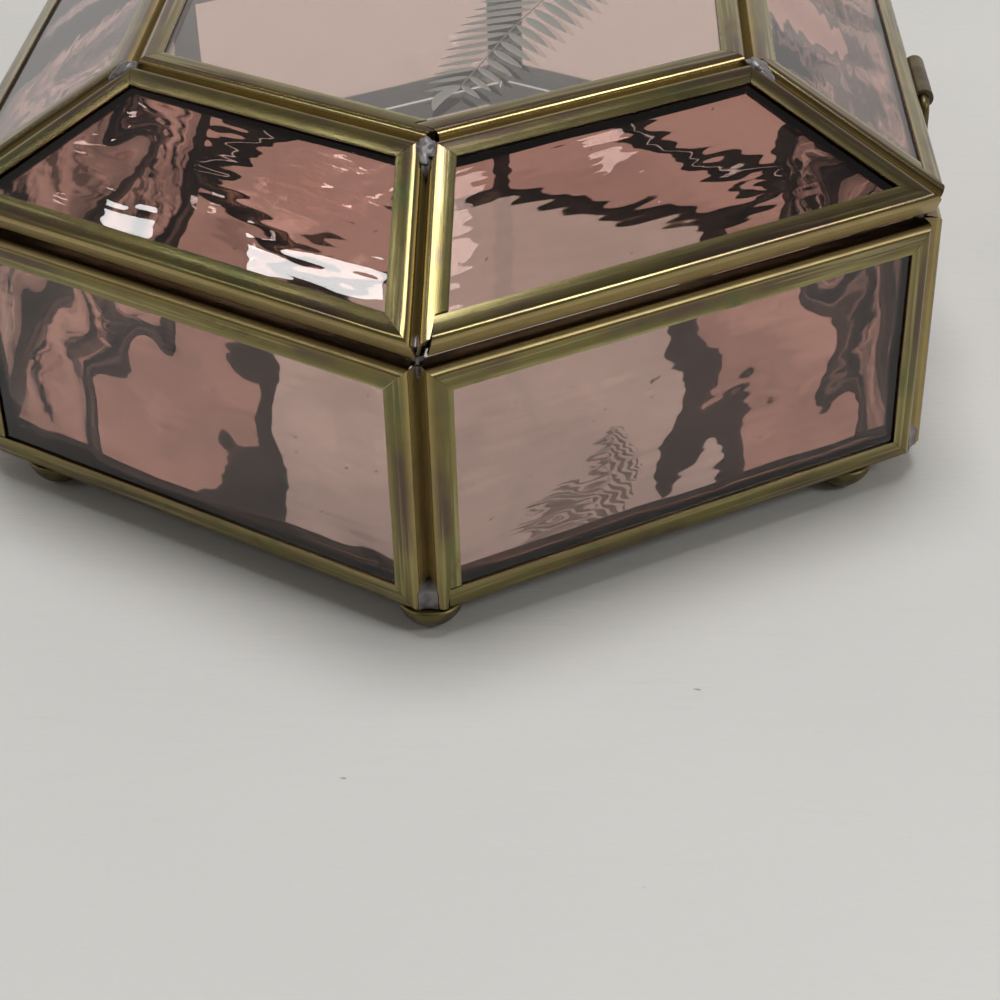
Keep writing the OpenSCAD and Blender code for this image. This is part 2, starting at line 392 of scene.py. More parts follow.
class Nodes:
    """A node tree and the means to add nodes to it."""

    def __init__(self, tree):
        self.tree = tree

    def add(self, kind, sockets=(), output=0, **settings):
        """Adds a node and gives one of its outputs. A list is linked into one socket, in its order."""
        node = self.tree.nodes.new(kind)
        for key, value in settings.items():
            setattr(node, key, value)
        for key, value in dict(sockets).items():
            for one in value if isinstance(value, list) else (value,):
                if isinstance(one, Value):
                    self.tree.links.new(one.socket, node.inputs[key])
                else:
                    node.inputs[key].default_value = one
        return Value(self, node.outputs[output]) if node.outputs else None

    def maths(self, operation, *values):
        return self.add("ShaderNodeMath", dict(enumerate(values)), operation=operation)

    def vector(self, x=0.0, y=0.0, z=0.0):
        return self.add("ShaderNodeCombineXYZ", {"X": x, "Y": y, "Z": z})


class Tree(Nodes):
    """A Geometry Nodes tree with named inputs, listed by their kinds."""

    def __init__(self, name, **inputs):
        super().__init__(bpy.data.node_groups.new(name, "GeometryNodeTree"))
        for kind, labels in inputs.items():
            for label in labels:
                self.tree.interface.new_socket(label, in_out="INPUT", socket_type="NodeSocket" + kind)
        self.tree.interface.new_socket("Geometry", in_out="OUTPUT", socket_type="NodeSocketGeometry")
        given = self.tree.nodes.new("NodeGroupInput").outputs
        self.given = {socket.name: Value(self, socket) for socket in given}

    def finish(self, parts, material):
        """Ends the tree in its parts, joined and realised, of one material."""
        joined = self.add("GeometryNodeJoinGeometry", {"Geometry": parts})
        real = self.add("GeometryNodeRealizeInstances", {"Geometry": joined})
        dressed = self.add("GeometryNodeSetMaterial", {"Geometry": real, "Material": material})
        self.add("NodeGroupOutput", {"Geometry": dressed})
        return self.tree


# Finishes


class Finish(Nodes):
    """A material and the nodes that make it."""

    def __init__(self, name):
        if name in bpy.data.materials:
            raise RuntimeError(f"the name {name} is taken")
        self.material = bpy.data.materials.new(name)
        self.material.use_nodes = True
        super().__init__(self.material.node_tree)
        self.tree.nodes.clear()

    def place(self, scale=(1, 1, 1), by="Object"):
        """Object or UV coordinates, stretched."""
        where = self.add("ShaderNodeTexCoord", output=by)
        return self.add("ShaderNodeMapping", {"Vector": where, "Scale": scale})

    def speckle(self, where, scale, detail=2.0, rough=0.5):
        """Noise from 0 to 1."""
        sockets = {"Vector": where, "Scale": scale, "Detail": detail, "Roughness": rough}
        return self.add("ShaderNodeTexNoise", sockets)

    def mix(self, factor, first, second):
        """One colour over another."""
        sockets = {"Factor": factor, 6: rgba(first), 7: rgba(second)}
        return self.add("ShaderNodeMix", sockets, output=2, data_type="RGBA")

    def bump(self, height, distance, strength=1.0):
        return self.add("ShaderNodeBump", {"Height": height, "Distance": distance, "Strength": strength})

    def shader(self, **sockets):
        """Ends the material in one Principled shader."""
        named = {key.replace("_", " "): value for key, value in sockets.items()}
        surface = self.add("ShaderNodeBsdfPrincipled", named)
        self.add("ShaderNodeOutputMaterial", {"Surface": surface})
        return self.material


def rgba(value):
    """A colour with its alpha, or a value left as it is."""
    return value if isinstance(value, Value) else (*value, 1.0)


def scaled(tint, by):
    return [by * c for c in tint]


def came_finish(look):
    """Antiqued brass, drawn lengthwise: u runs along the strip and v across it, in metres. The fold
    attribute is 0 on the outside flange, 0.4 in the webs and 1 in those of the rim, falls from 3 to 2 on
    the flange inside the box and on the floor's came, and is 3 on the sheet's inside face. The rim's
    webs get a brown painted shade for the shadow under the lid, and from 2 up the brass gets a
    near-black painted shade for the dark inside of the box."""
    finish = Finish("came_brass")
    cloud = finish.speckle(finish.place(), 60, 3.0, 0.55)
    bloom = finish.speckle(finish.place(), 110, 4.0, 0.6)
    streak, drawn, grain, stain = (
        finish.speckle(finish.place((along, across, 1), "UV"), 1.0, detail, rough)
        for along, across, detail, rough in (
            (28, 1500, 3.0, 0.6), (50, 6500, 2.0, 0.6), (900, 5200, 2.0, 0.5), (160, 420, 4.0, 0.65),
        )
    )
    fold = finish.add("ShaderNodeAttribute", output="Fac", attribute_name="fold")
    # The third mask marks where the painted shade goes: fold values rising from 1.3 to 1.9
    web, rim, painted_shade_mask = fold.between(0.03, 0.35), fold.between(0.5, 0.95), fold.between(1.3, 1.9)
    across = finish.place(by="UV").parts()[1]
    fold_side, lip = across.between(0.5 * MM, 1.6 * MM), 1 - across.between(0.1 * MM, 0.9 * MM)
    tone = finish.mix(cloud.between(0.40, 0.60) * (0.25 + 0.75 * fold_side), look.brass, look.violet)
    tone = finish.mix(lip * streak * 0.6, tone, look.gold)
    tone = finish.mix(bloom.between(0.54, 0.70) * 0.7, tone, look.verdigris)
    tone = finish.mix(streak.between(0.50, 0.66) * 0.5, tone, look.gold)
    tone = finish.mix(stain.between(0.55, 0.75) * 0.6, tone, look.tarnish_and_shade)
    tone = finish.mix(web * (1.15 - 0.8 * stain), tone, look.web)
    # Painted shade: the rim's webs, in shadow under the lid, are darkened to brown
    tone = finish.mix(rim * (0.45 + 0.7 * streak), tone, look.tarnish_and_shade)
    # Painted shade: near black on the flanges inside the box, the floor's came and the sheet's inside face, a little
    # lighter in patches
    tone = finish.mix(painted_shade_mask, tone, finish.mix(stain.between(0.3, 0.7), look.shade, scaled(look.shade, 1.9)))
    seam = fold.between(0.36, 0.40) * (1 - rim)
    rough = 0.10 + 0.10 * cloud + 0.05 * grain + 0.09 * stain + 0.12 * seam
    height = 0.5 * streak + 0.3 * drawn + 0.2 * grain
    metal = 1 - 0.4 * seam
    return finish.shader(Base_Color=tone, Metallic=metal, Roughness=rough, Normal=finish.bump(height, 0.00003, 0.4))


def plain_brass(name, look, dark=0.0):
    """Antiqued brass of the small turned and drawn pieces."""
    finish = Finish(name)
    cloud = finish.speckle(finish.place(), 260, 4.0, 0.6)
    pits = finish.speckle(finish.place(), 1900, 3.0)
    tone = finish.mix(cloud.between(0.38, 0.64), look.brass, look.tarnish_and_shade)
    tone = finish.mix(dark, tone, look.tarnish_and_shade)
    rough = 0.27 + 0.2 * cloud + 0.1 * pits
    return finish.shader(Base_Color=tone, Metallic=1.0, Roughness=rough, Normal=finish.bump(pits, 0.00002, 0.6))


def glass_finish(name, tint):
    return Finish(name).shader(Base_Color=rgba(tint), Transmission_Weight=1.0, IOR=1.5, Roughness=0.0)


def etched_finish():
    """Frosted floor of the etching."""
    finish = Finish("etched_glass")
    grain = finish.speckle(finish.place(), 4200, 2.0)
    return finish.shader(
        Base_Color=(0.40, 0.385, 0.35, 1.0), Transmission_Weight=0.45, IOR=1.45,
        Roughness=0.5 + 0.2 * grain, Normal=finish.bump(grain, 0.00002),
    )


def mirror_finish():
    finish = Finish("silvered_glass")
    haze = finish.speckle(finish.place(), 45, 4.0)
    return finish.shader(Base_Color=(0.84, 0.835, 0.82, 1.0), Metallic=1.0, Roughness=0.015 + 0.02 * haze)


def solder_finish(look):
    finish = Finish("tin_solder")
    lump = finish.speckle(finish.place(), 900, 4.0, 0.6)
    cloud = finish.speckle(finish.place(), 380, 2.0)
    tone = finish.mix(cloud.between(0.42, 0.66), look.solder, scaled(look.solder, 0.45))
    rough = 0.30 + 0.28 * lump
    return finish.shader(Base_Color=tone, Metallic=0.85, Roughness=rough, Normal=finish.bump(lump, 0.00006, 0.8))


def material(name):
    """A finish that the finishes operator has made."""
    found = bpy.data.materials.get(name)
    if found is None:
        raise RuntimeError(f"the finishes have no {name}")
    return found


def dress(node, name):
    """Gives a node's own mesh a finish."""
    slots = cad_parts[node].data.materials
    slots.clear()
    slots.append(material(name))


# Pieces


def half_section(came, face, bend):
    """Pairs of outside and inside points across one half of the folded sheet, as (distance in, height),
    and how deep in a fold each pair lies, from 0 to 1."""
    sheet = came.sheet
    middle, reach = (face + bend) / 2, (face - bend) / 2
    tip, sharpest = 0.06 * MM, 0.02 * MM
    fillet = max(bend - sheet, sharpest)
    pairs = []
    for d in (face, face - tip, middle + reach / 2, middle, middle - reach / 2, bend + tip):
        dome = came.crown * ((d - middle) / reach) ** 2
        pairs.append(((d, -dome), (d, -sheet - dome), 0.0))
    for angle in range(90, -1, -15):
        a = math.radians(angle)
        sag = came.crown * angle / 90
        out = (bend - bend * math.cos(a), bend * (math.sin(a) - 1) - sag)
        inside = (fillet + sheet - fillet * math.cos(a), -fillet - sheet + fillet * math.sin(a) - sag)
        pairs.append((out, inside, 1 - angle / 90))
    return pairs + [((0, z), (sheet, z), 1.0) for z in (-bend - tip, -came_depth(came) / 2)]


def whole_section(came, face):
    """The section of a came: the flange inside the box has the sharper bend."""
    depth, least_flat = came_depth(came), 0.4 * MM
    outer = half_section(came, face, min(came.outer_bend, face - least_flat))
    inner = half_section(came, face, came.inner_bend)
    return outer + [((a, -depth - z), (b, -depth - y), fold) for (a, z), (b, y), fold in reversed(inner[:-1])]


def clamp(value):
    return min(max(value, 0), 1)


def half_angle(points, k):
    """Half of the angle inside an outline's corner."""
    before = (points[k] - points[k - 1]).normalized()
    after = (points[(k + 1) % len(points)] - points[k]).normalized()
    return (math.pi - after.angle(before)) / 2


def strip_ends(d, edge, count, half_start, half_stop, came):
    """How far a strip starts and stops short of its corners, at a distance in from the outline.
    Flanges are mitred, but at the first corner the last strip laps past the end of the first one."""
    slit = came.mitre_gap / 2 * clamp((d - 0.5 * came.bend) / came.bend)
    start = d / math.tan(half_start) + slit
    stop = d / math.tan(half_stop) + slit
    if edge == 0:
        beside = came.lap + came.mitre_gap
        start = (beside + d * math.cos(2 * half_start)) / math.sin(2 * half_start)
    if edge == count - 1:
        above = came.sheet if d < came.lap else came.face + came.lap_gap
        stop = (above + d * math.cos(2 * half_stop)) / math.sin(2 * half_stop)
    return start, stop


def came_mesh(pane, came, seed):
    """One folded strip round a pane: mitred corners, and a stepped lap at the first one."""
    bm = bmesh.new()
    uv = bm.loops.layers.uv.new("strip")
    fold_and_shade_layer = bm.verts.layers.float.new("fold")
    section = whole_section(came, pane.face)
    widths = [0.0]
    for (before, _, _), (after, _, _) in zip(section, section[1:]):
        widths.append(widths[-1] + math.hypot(after[0] - before[0], after[1] - before[1]))
    last = len(section) - 1
    points = pane.outline
    wander_span, lip_span, lip_stray = 9 * MM, 4 * MM, 0.03 * MM

    def face(verts, spots, order=1):
        made = bm.faces.new(verts[::order])
        for loop, spot in zip(made.loops, spots[::order]):
            loop[uv].uv = spot

    for edge, corner in enumerate(points):
        other = points[(edge + 1) % len(points)]
        u = (other - corner).normalized()
        inward = Vector((-u.y, u.x))
        long = (other - corner).length
        halves = half_angle(points, edge), half_angle(points, (edge + 1) % len(points))
        columns = max(3, round(long / came.step))
        rim = pane.part == "wall" and edge == 2
        lapped = edge in (0, len(points) - 1)

        def add_row(index, side):
            """The points along one line of the sheet's outside, side 0, or inside, side 1."""
            outside, fold = section[index][0], section[index][2]
            d, z = section[index][side]
            flare = came.flare * clamp((-z - came.bend) / (2 * came.bend)) if rim else 0
            flange = clamp((outside[0] - came.bend) / (pane.face - came.bend))
            start, stop = strip_ends(outside[0] if lapped else d, edge, len(points), *halves, came)
            sign = 1 if z < -came_depth(came) / 2 else -1
            inside = index > last // 2 and fold < 1 or pane.part == "floor"
            row = []
            for column in range(columns + 1):
                t = start + (long - start - stop) * column / columns
                stray = noise.noise(Vector((t / wander_span, 5.3 * edge, seed + 0.4 * (z < -came.glass / 2))))
                lip = noise.noise(Vector((t / lip_span, 3.7 * edge + 40, seed)))
                place = corner + u * t + inward * (d + lip_stray * flange * lip - flare)
                lift = sign * came.wobble * flange * (0.5 + stray)
                vertex = bm.verts.new((place.x, place.y, z + lift))
                # Values from 2 up mark painted shade on the flanges inside the box, the floor's came and the sheet's
                # inside face; the rim's webs get 1, which is painted darker as shade under the lid
                vertex[fold_and_shade_layer] = 3.0 if side else fold * (1 if rim or inside else 0.4) + 2.0 * inside
                row.append(vertex)
            return row

        outer, inner = ([add_row(index, side) for index in range(last + 1)] for side in (0, 1))
        offset = 0.31 * edge + 1.7 * seed
        marks = [offset + long * k / columns for k in range(columns + 1)]
        for j in range(last):
            low, high = widths[j], widths[j + 1]
            for c in range(columns):
                spots = [(marks[c], low), (marks[c + 1], low), (marks[c + 1], high), (marks[c], high)]
                face([outer[j][c + 1], outer[j][c], outer[j + 1][c], outer[j + 1][c + 1]],
                     [spots[1], spots[0], spots[3], spots[2]])
                face([inner[j][c], inner[j][c + 1], inner[j + 1][c + 1], inner[j + 1][c]], spots)
            for c, order in ((0, 1), (columns, -1)):
                ring = [outer[j][c], inner[j][c], inner[j + 1][c], outer[j + 1][c]]
                face(ring, [(offset, low)] * 2 + [(offset, high)] * 2, order)
        for j, order in ((0, 1), (last, -1)):
            for c in range(columns):
                ring = [outer[j][c], outer[j][c + 1], inner[j][c + 1], inner[j][c]]
                face(ring, [(marks[c], widths[j])] * 4, order)
    bm.transform(pane.place)
    turn_outwards(bm)
    return bm


def rolled_tree(glass_material):
    """Waves on both faces of a flat slab, much lower on the outside face. They only go inwards, so
    that the slab stays under its flanges."""
    tree = Tree("rolled_glass", Geometry=["Geometry"], Float=[
        "Swell", "Swell span", "Wave", "Wave span", "Ripple", "Ripple span", "Seed", "Middle", "Bubbles", "Bubble",
    ])
    given = tree.given
    crest, face_shift = 0.74, 7.3
    x, y, z = tree.add("GeometryNodeInputPosition").parts()
    side = tree.maths("SIGN", z - given["Middle"])
    depth = None
    for height, stretch, outer in (("Swell", 1.1, 0.05), ("Wave", 1.1, 0.05), ("Ripple", 0.2, 0.2)):
        span = given[height + " span"]
        flat = tree.vector(x / span * stretch, y / span, side * face_shift)
        sockets = {"Vector": flat, "W": given["Seed"], "Scale": 1.0, "Detail": 0.5}
        wave = tree.add("ShaderNodeTexNoise", sockets, noise_dimensions="4D")
        share = (0.5 + outer / 2) - side * (0.5 - outer / 2)
        part = (crest - wave) * given[height] * share
        depth = part if depth is None else depth + part
    inward = tree.vector(z=side * tree.maths("MAXIMUM", depth, 0.0) * -1)
    moved = tree.add("GeometryNodeSetPosition", {"Geometry": given["Geometry"], "Offset": inward})
    return tree.finish([bubbles(tree, side), moved], glass_material)


def bubbles(tree, side):
    """Air bubbles deep in the slab, drawn out and leaning up the pane: small spheres turned inside out."""
    given = tree.given
    spread = {"Mesh": given["Geometry"], "Density": given["Bubbles"], "Seed": given["Seed"] * 10}
    spots = tree.add("GeometryNodeDistributePointsOnFaces", spread)
    sunk = tree.add("GeometryNodeSetPosition", {"Geometry": spots, "Offset": tree.vector(z=side * -BUBBLE_DEPTH)})
    ball = tree.add("GeometryNodeMeshUVSphere", {"Segments": 8, "Rings": 6, "Radius": 0.5})
    hollow = tree.add("GeometryNodeFlipFaces", {"Mesh": ball})
    draw = tree.add("FunctionNodeRandomValue", {2: 0.25, 3: 1.0}, output=1, data_type="FLOAT")
    lean = tree.add("FunctionNodeRandomValue", {2: 0.2, 3: 0.7, "Seed": 4}, output=1, data_type="FLOAT")
    scale = tree.vector(given["Bubble"] * (draw * draw), draw * BUBBLE_WIDTH, draw * BUBBLE_WIDTH)
    return tree.add("GeometryNodeInstanceOnPoints", {
        "Points": sunk, "Instance": hollow, "Rotation": tree.vector(z=lean), "Scale": scale,
    })


def slab(outline, thickness, middle, step):
    """A closed slab over a trapezium, as a fine grid on both faces, closer up the pane than along it."""
    bm = bmesh.new()
    low_left, low_right, high_right, high_left = outline
    columns = max(2, round((low_right - low_left).length / (5 * step)))
    rows = max(2, round((high_left.y - low_left.y) / step))

    def grid(z):
        made = []
        for r in range(rows + 1):
            left = low_left.lerp(high_left, r / rows)
            right = low_right.lerp(high_right, r / rows)
            made.append([bm.verts.new((*left.lerp(right, c / columns), z)) for c in range(columns + 1)])
        return made

    def border(grid):
        right = [row[-1] for row in grid[1:]]
        left = [row[0] for row in grid[-2:0:-1]]
        return grid[0] + right + grid[-1][-2::-1] + left

    front, back = grid(middle + thickness / 2), grid(middle - thickness / 2)
    for r in range(rows):
        for c in range(columns):
            bm.faces.new((front[r][c], front[r][c + 1], front[r + 1][c + 1], front[r + 1][c]))
            bm.faces.new((back[r][c + 1], back[r][c], back[r + 1][c], back[r + 1][c + 1]))
    ahead, behind = border(front), border(back)
    for k in range(len(ahead)):
        n = (k + 1) % len(ahead)
        bm.faces.new((ahead[k], behind[k], behind[n], ahead[n]))
    return bm


def prism(outline, top, bottom):
    """A closed prism over a convex outline."""
    bm = bmesh.new()
    high = [bm.verts.new((*p, top)) for p in outline]
    low = [bm.verts.new((*p, bottom)) for p in outline]
    bm.faces.new(high)
    bm.faces.new(low[::-1])
    for k in range(len(high)):
        n = (k + 1) % len(high)
        bm.faces.new((high[k], low[k], low[n], high[n]))
    return bm


def leaflet_cutter(depth, over):
    """A unit leaflet along +x, pointed at both ends: its keel cuts deepest along the middle."""
    bm = bmesh.new()
    stations = 9
    keel, left, right = [], [], []
    for k in range(1, stations):
        t = k / stations
        half = 0.5 * math.sin(math.pi * t ** 0.72) ** 0.8
        left.append(bm.verts.new((t, half, over)))
        right.append(bm.verts.new((t, -half, over)))
        keel.append(bm.verts.new((t, 0.12 * half, -depth * (0.35 + 1.3 * half))))
    root, tip = bm.verts.new((0, 0, over)), bm.verts.new((1, 0, over))
    ridge_line = [root, *keel, tip]
    for edge, flip in (([root, *left, tip], 1), ([root, *right, tip], -1)):
        for k in range(len(edge) - 1):
            ring = [edge[k], edge[k + 1], ridge_line[k + 1], ridge_line[k]]
            ring = [v for i, v in enumerate(ring) if v not in ring[:i]]
            bm.faces.new(ring[::flip])
    bm.faces.new([root, *right, tip, *left[::-1]])
    turn_outwards(bm)
    return bm


def frond_tree(etched):
    """Leaflets along both sides of a stem: they lean towards its tip and are longest at its middle."""
    tree = Tree("frond", Geometry=["Geometry"], Object=["Leaflet"], Int=["Count"], Float=["Length", "Width", "Lean"])
    given = tree.given
    curve = tree.add("GeometryNodeMeshToCurve", {"Mesh": given["Geometry"]})
    kept = tree.tree.nodes.new("GeometryNodeCaptureAttribute")
    kept.capture_items.new("VECTOR", "tangent")
    tree.tree.links.new(curve.socket, kept.inputs["Geometry"])
    tree.tree.links.new(tree.add("GeometryNodeInputTangent").socket, kept.inputs["tangent"])
    stem, tangent = (Value(tree, kept.outputs[name]) for name in ("Geometry", "tangent"))
    points = tree.add(
        "GeometryNodeCurveToPoints", {"Curve": stem, "Count": given["Count"]}, output="Points", mode="COUNT"
    )
    leaflet = tree.add("GeometryNodeObjectInfo", {"Object": given["Leaflet"]}, output="Geometry")
    share = tree.add("GeometryNodeInputIndex") / given["Count"]
    swell = tree.maths("SINE", tree.maths("POWER", share, 0.8) * math.pi)
    scale = tree.vector((0.42 + swell * 0.58) * given["Length"], (0.55 + swell * 0.45) * given["Width"], 1.0)
    east, north, _ = tangent.parts()
    heading = tree.maths("ARCTAN2", north, east)
    sides = [
        tree.add("GeometryNodeInstanceOnPoints", {
            "Points": points, "Instance": leaflet, "Rotation": tree.vector(z=heading + given["Lean"] * side),
            "Scale": scale,
        })
        for side in (1, -1)
    ]
    return tree.finish(sides, etched)


def smooth_line(marks, steps=12):
    """A smooth line through marks, with this many points from each to the next."""
    line = []
    for k in range(len(marks) - 1):
        p = [marks[max(k - 1, 0)], marks[k], marks[k + 1], marks[min(k + 2, len(marks) - 1)]]
        for s in range(steps):
            t = s / steps
            line.append(0.5 * (
                2 * p[1] + (p[2] - p[0]) * t + (2 * p[0] - 5 * p[1] + 4 * p[2] - p[3]) * t ** 2
                + (3 * p[1] - p[0] - 3 * p[2] + p[3]) * t ** 3
            ))
    return line + [marks[-1]]


def add_lathe(bm, profile, place, segments=40):
    """Turns (radius, height) points about z into a closed solid, from its lower to its upper pole."""
    rings = []
    for radius, height in profile:
        if radius == 0:
            rings.append([bm.verts.new(place @ Vector((0, 0, height)))])
            continue
        spots = (on_circle(2 * math.pi * s / segments) * radius for s in range(segments))
        rings.append([bm.verts.new(place @ Vector((p.x, p.y, height))) for p in spots])
    for low, high in zip(rings, rings[1:]):
        for s in range(segments):
            n = (s + 1) % segments
            ring = [low[s % len(low)], low[n % len(low)], high[n % len(high)], high[s % len(high)]]
            bm.faces.new([v for i, v in enumerate(ring) if v not in ring[:i]])


def add_blob(bm, place, radii, rough=0.12, seed=0.0, subdivisions=3):
    """A lump of solder: an uneven ellipsoid."""
    made = bmesh.ops.create_icosphere(bm, subdivisions=subdivisions, radius=1.0)
    for vertex in made["verts"]:
        wander = noise.noise(vertex.co * 1.7 + Vector((seed, 2 * seed, 0)))
        fine = noise.noise(vertex.co * 4.1 + Vector((0, seed, 9)))
        spot = vertex.co * (1 + rough * wander + 0.4 * rough * fine)
        vertex.co = place @ Vector(spot[k] * radii[k] for k in range(3))


def seam_place(plan, i, height, rise):
    """Lays a shape along the seam at corner i: z up the seam, x out of the box."""
    corner = corners(plan)[i]
    return (
        at(corner.x, corner.y, height)
        @ Matrix.Rotation(TURN * i, 4, "Z")
        @ Matrix.Rotation(rise - math.pi / 2, 4, "Y")
    )


def add_groove_fill(bm, place, low, high, angle, plan, came, seed, rest=0.55):
    """Solder that fills the groove between two cames, hollow towards the outside, from low to high.
    It rests this many millimetres under the faces, and thins out towards its high end."""
    back = seam_end(angle, plan, came)
    deep = came_depth(came) - came.bend
    stations, across = 9, 7
    hollow, stray, lap, thinning, thins_from = 0.25 * MM, 0.12 * MM, 0.04 * MM, 5.5 * MM, 0.55
    rings = []
    for k in range(stations + 1):
        t = k / stations
        height = low + (high - low) * t
        sink = rest * MM + thinning * max(0, t - thins_from) ** 2
        ring = []
        for depth, ways in ((sink, range(across)), (deep, range(across - 1, -1, -1))):
            for w in ways:
                way = 2 * w / (across - 1) - 1
                wander = noise.noise(Vector((way, height / MM, seed)))
                level = depth + (hollow * (1 - way ** 2) if depth == sink else 0) + stray * wander
                x = -back * math.sin(angle / 2) - level * math.cos(angle / 2)
                y = way * (back * math.cos(angle / 2) - level * math.sin(angle / 2) + lap)
                ring.append(bm.verts.new(place @ Vector((x, y, height))))
        rings.append(ring)
    for lower, upper in zip(rings, rings[1:]):
        for k in range(len(lower)):
            n = (k + 1) % len(lower)
            bm.faces.new((lower[k], lower[n], upper[n], upper[k]))
    bm.faces.new(rings[0][::-1])
    bm.faces.new(rings[-1])


class CASKET_OT_finishes(bpy.types.Operator):
    """Make every material of the casket"""

    bl_idname = "casket.finishes"
    bl_label = "Finishes"

    def execute(self, context):
        look = context.scene.casket_finish
        came_finish(look)
        plain_brass("foot_brass", look)
        plain_brass("hinge_brass", look, 0.45)
        glass_finish("rolled_rose", look.rose)
        glass_finish("polished_clear", look.clear)
        etched_finish()
        mirror_finish()
        solder_finish(look)
        return {"FINISHED"}


class CASKET_OT_cames(bpy.types.Operator):
    """Fold a brass came round each pane"""

    bl_idname = "casket.cames"
    bl_label = "Cames"

    def execute(self, context):
        scene = context.scene
        for seed, pane in enumerate(all_panes(scene.casket_plan, scene.casket_came)):
            node = node_name(pane, "came")
            bm = came_mesh(pane, scene.casket_came, seed)
            piece = add_object(node + "_folded", bm, material("came_brass"))
            settle(piece, pane.body, node, CAME_SLACK)
        return {"FINISHED"}


class CASKET_OT_rose_panes(bpy.types.Operator):
    """Roll the rose glass panes of the walls and the lid"""

    bl_idname = "casket.rose_panes"
    bl_label = "Rose panes"

    def execute(self, context):
        scene = context.scene
        came, glass = scene.casket_came, scene.casket_glass
        tree = rolled_tree(material("rolled_rose"))
        middle = -came_depth(came) / 2
        for index, pane in enumerate(all_panes(scene.casket_plan, came)):
            if pane.part not in ("wall", "lid"):
                continue
            node = node_name(pane, "glass")
            outline = inset(pane.outline, came.sheet + came.edge_room)
            bm = slab(outline, came.glass, middle, glass.grid)
            piece = add_object(node + "_rolled", bm, material("rolled_rose"), 50)
            apply_tree(piece, tree, {
                "Swell": glass.swell, "Swell span": glass.swell_span,
                "Wave": glass.wave * (glass.lid_share if pane.part == "lid" else 1),
                "Wave span": glass.wave_span, "Ripple": glass.ripple, "Ripple span": glass.ripple_span,
                "Bubbles": glass.bubbles * 1e6, "Bubble": glass.bubble,
                "Seed": float(OWN_SEEDS.get(node, glass.seed + 3 * index)), "Middle": middle,
            })
            piece.data.transform(pane.place)
            soften(piece.data, 50)
            settle(piece, pane.body, node, ROLLED_SLACK)
        return {"FINISHED"}


class CASKET_OT_clear_top(bpy.types.Operator):
    """Make the clear top pane and etch the frond into it"""

    bl_idname = "casket.clear_top"
    bl_label = "Clear top"

    def execute(self, context):
        scene = context.scene
        plan, came, glass = scene.casket_plan, scene.casket_came, scene.casket_glass
        pane = next(p for p in all_panes(plan, came) if p.part == "top")
        outline = inset(pane.outline, came.sheet + came.edge_room)
        face = -came.sheet - came.clearance
        blank = prism(outline, face, face - came.glass)
        piece = add_object("top_glass_etched", blank, material("polished_clear"), 30)
        etched = material("etched_glass")
        piece.data.materials.append(etched)
        over = 0.02 * MM  # the cutters' height over the glass
        leaflet = add_object("leaflet", leaflet_cutter(glass.etch_depth, over), etched)
        line = smooth_line([Vector((x * MM, y * MM)) for x, y in STEM_MARKS])
        stem = bpy.data.meshes.new("stem")
        stem.from_pydata([(*p, face) for p in line], [(k, k + 1) for k in range(len(line) - 1)], [])
        cutter = bpy.data.objects.new("frond", stem)
        scene.collection.objects.link(cutter)
        apply_tree(cutter, frond_tree(etched), {
            "Leaflet": leaflet, "Count": glass.leaflets, "Length": glass.leaflet_length,
            "Width": glass.leaflet_width, "Lean": glass.leaflet_lean,
        })
        cut = bmesh.new()
        cut.from_mesh(cutter.data)
        self.add_stem(cut, line, face, over)
        self.add_tip_leaf(cut, line, face, over, glass)
        turn_outwards(cut)
        cut.to_mesh(cutter.data)
        cut.free()
        if not cutter.data.materials:
            cutter.data.materials.append(etched)
        boolean = piece.modifiers.new("etching", "BOOLEAN")
        boolean.operation = "DIFFERENCE"
        boolean.solver = "EXACT"
        boolean.use_self = True
        boolean.material_mode = "TRANSFER"
        boolean.object = cutter
        bake(piece, boolean)
        if len(piece.data.polygons) < 20 * glass.leaflets:
            raise RuntimeError(f"the etching cut only {len(piece.data.polygons)} faces")
        piece.data.transform(pane.place)
        piece.data.shade_flat()
        for extra in (cutter, leaflet):
            bpy.data.objects.remove(extra)
        settle(piece, "lid", "top_glass")
        return {"FINISHED"}

    @staticmethod
    def add_stem(bm, line, face, over):
        """A narrow V along the stem, a closed solid."""
        wide, deep = 0.13 * MM, 0.1 * MM
        rings = []
        for k, point in enumerate(line):
            ahead = line[min(k + 1, len(line) - 1)] - line[max(k - 1, 0)]
            across = Vector((-ahead.y, ahead.x)).normalized() * wide
            rings.append([
                bm.verts.new((*(point + across), face + over)), bm.verts.new((*(point - across), face + over)),
                bm.verts.new((*point, face - deep)),
            ])
        for first, second in zip(rings, rings[1:]):
            for k in range(3):
                n = (k + 1) % 3
                bm.faces.new((first[k], first[n], second[n], second[k]))
        bm.faces.new(rings[0])
        bm.faces.new(rings[-1][::-1])

    @staticmethod
    def add_tip_leaf(bm, line, face, over, glass):
        """The single leaflet that ends the frond, with its belly on one side of the stem's line."""
        long, wide, belly, bow = 8.0 * MM, 2.6 * MM, 0.72, 0.36
        leaf = leaflet_cutter(glass.etch_depth, over)
        for vertex in leaf.verts:
            vertex.co.y = belly * vertex.co.y - bow * math.sin(math.pi * vertex.co.x)
        heading = line[-1] - line[-3]
        turn = Matrix.Rotation(math.atan2(heading.y, heading.x) - 0.05, 4, "Z")
        place = at(*line[-1], face) @ turn @ Matrix.Diagonal((long, wide, 1, 1))
        leaf.transform(place)
        made = bpy.data.meshes.new("tip_leaf")
        leaf.to_mesh(made)
        leaf.free()
        bm.from_mesh(made)
        bpy.data.meshes.remove(made)


class CASKET_OT_floor(bpy.types.Operator):
    """Silver the floor's pane"""

    bl_idname = "casket.floor"
    bl_label = "Mirror floor"

    def execute(self, context):
        dress("floor_mirror", "silvered_glass")
        return {"FINISHED"}


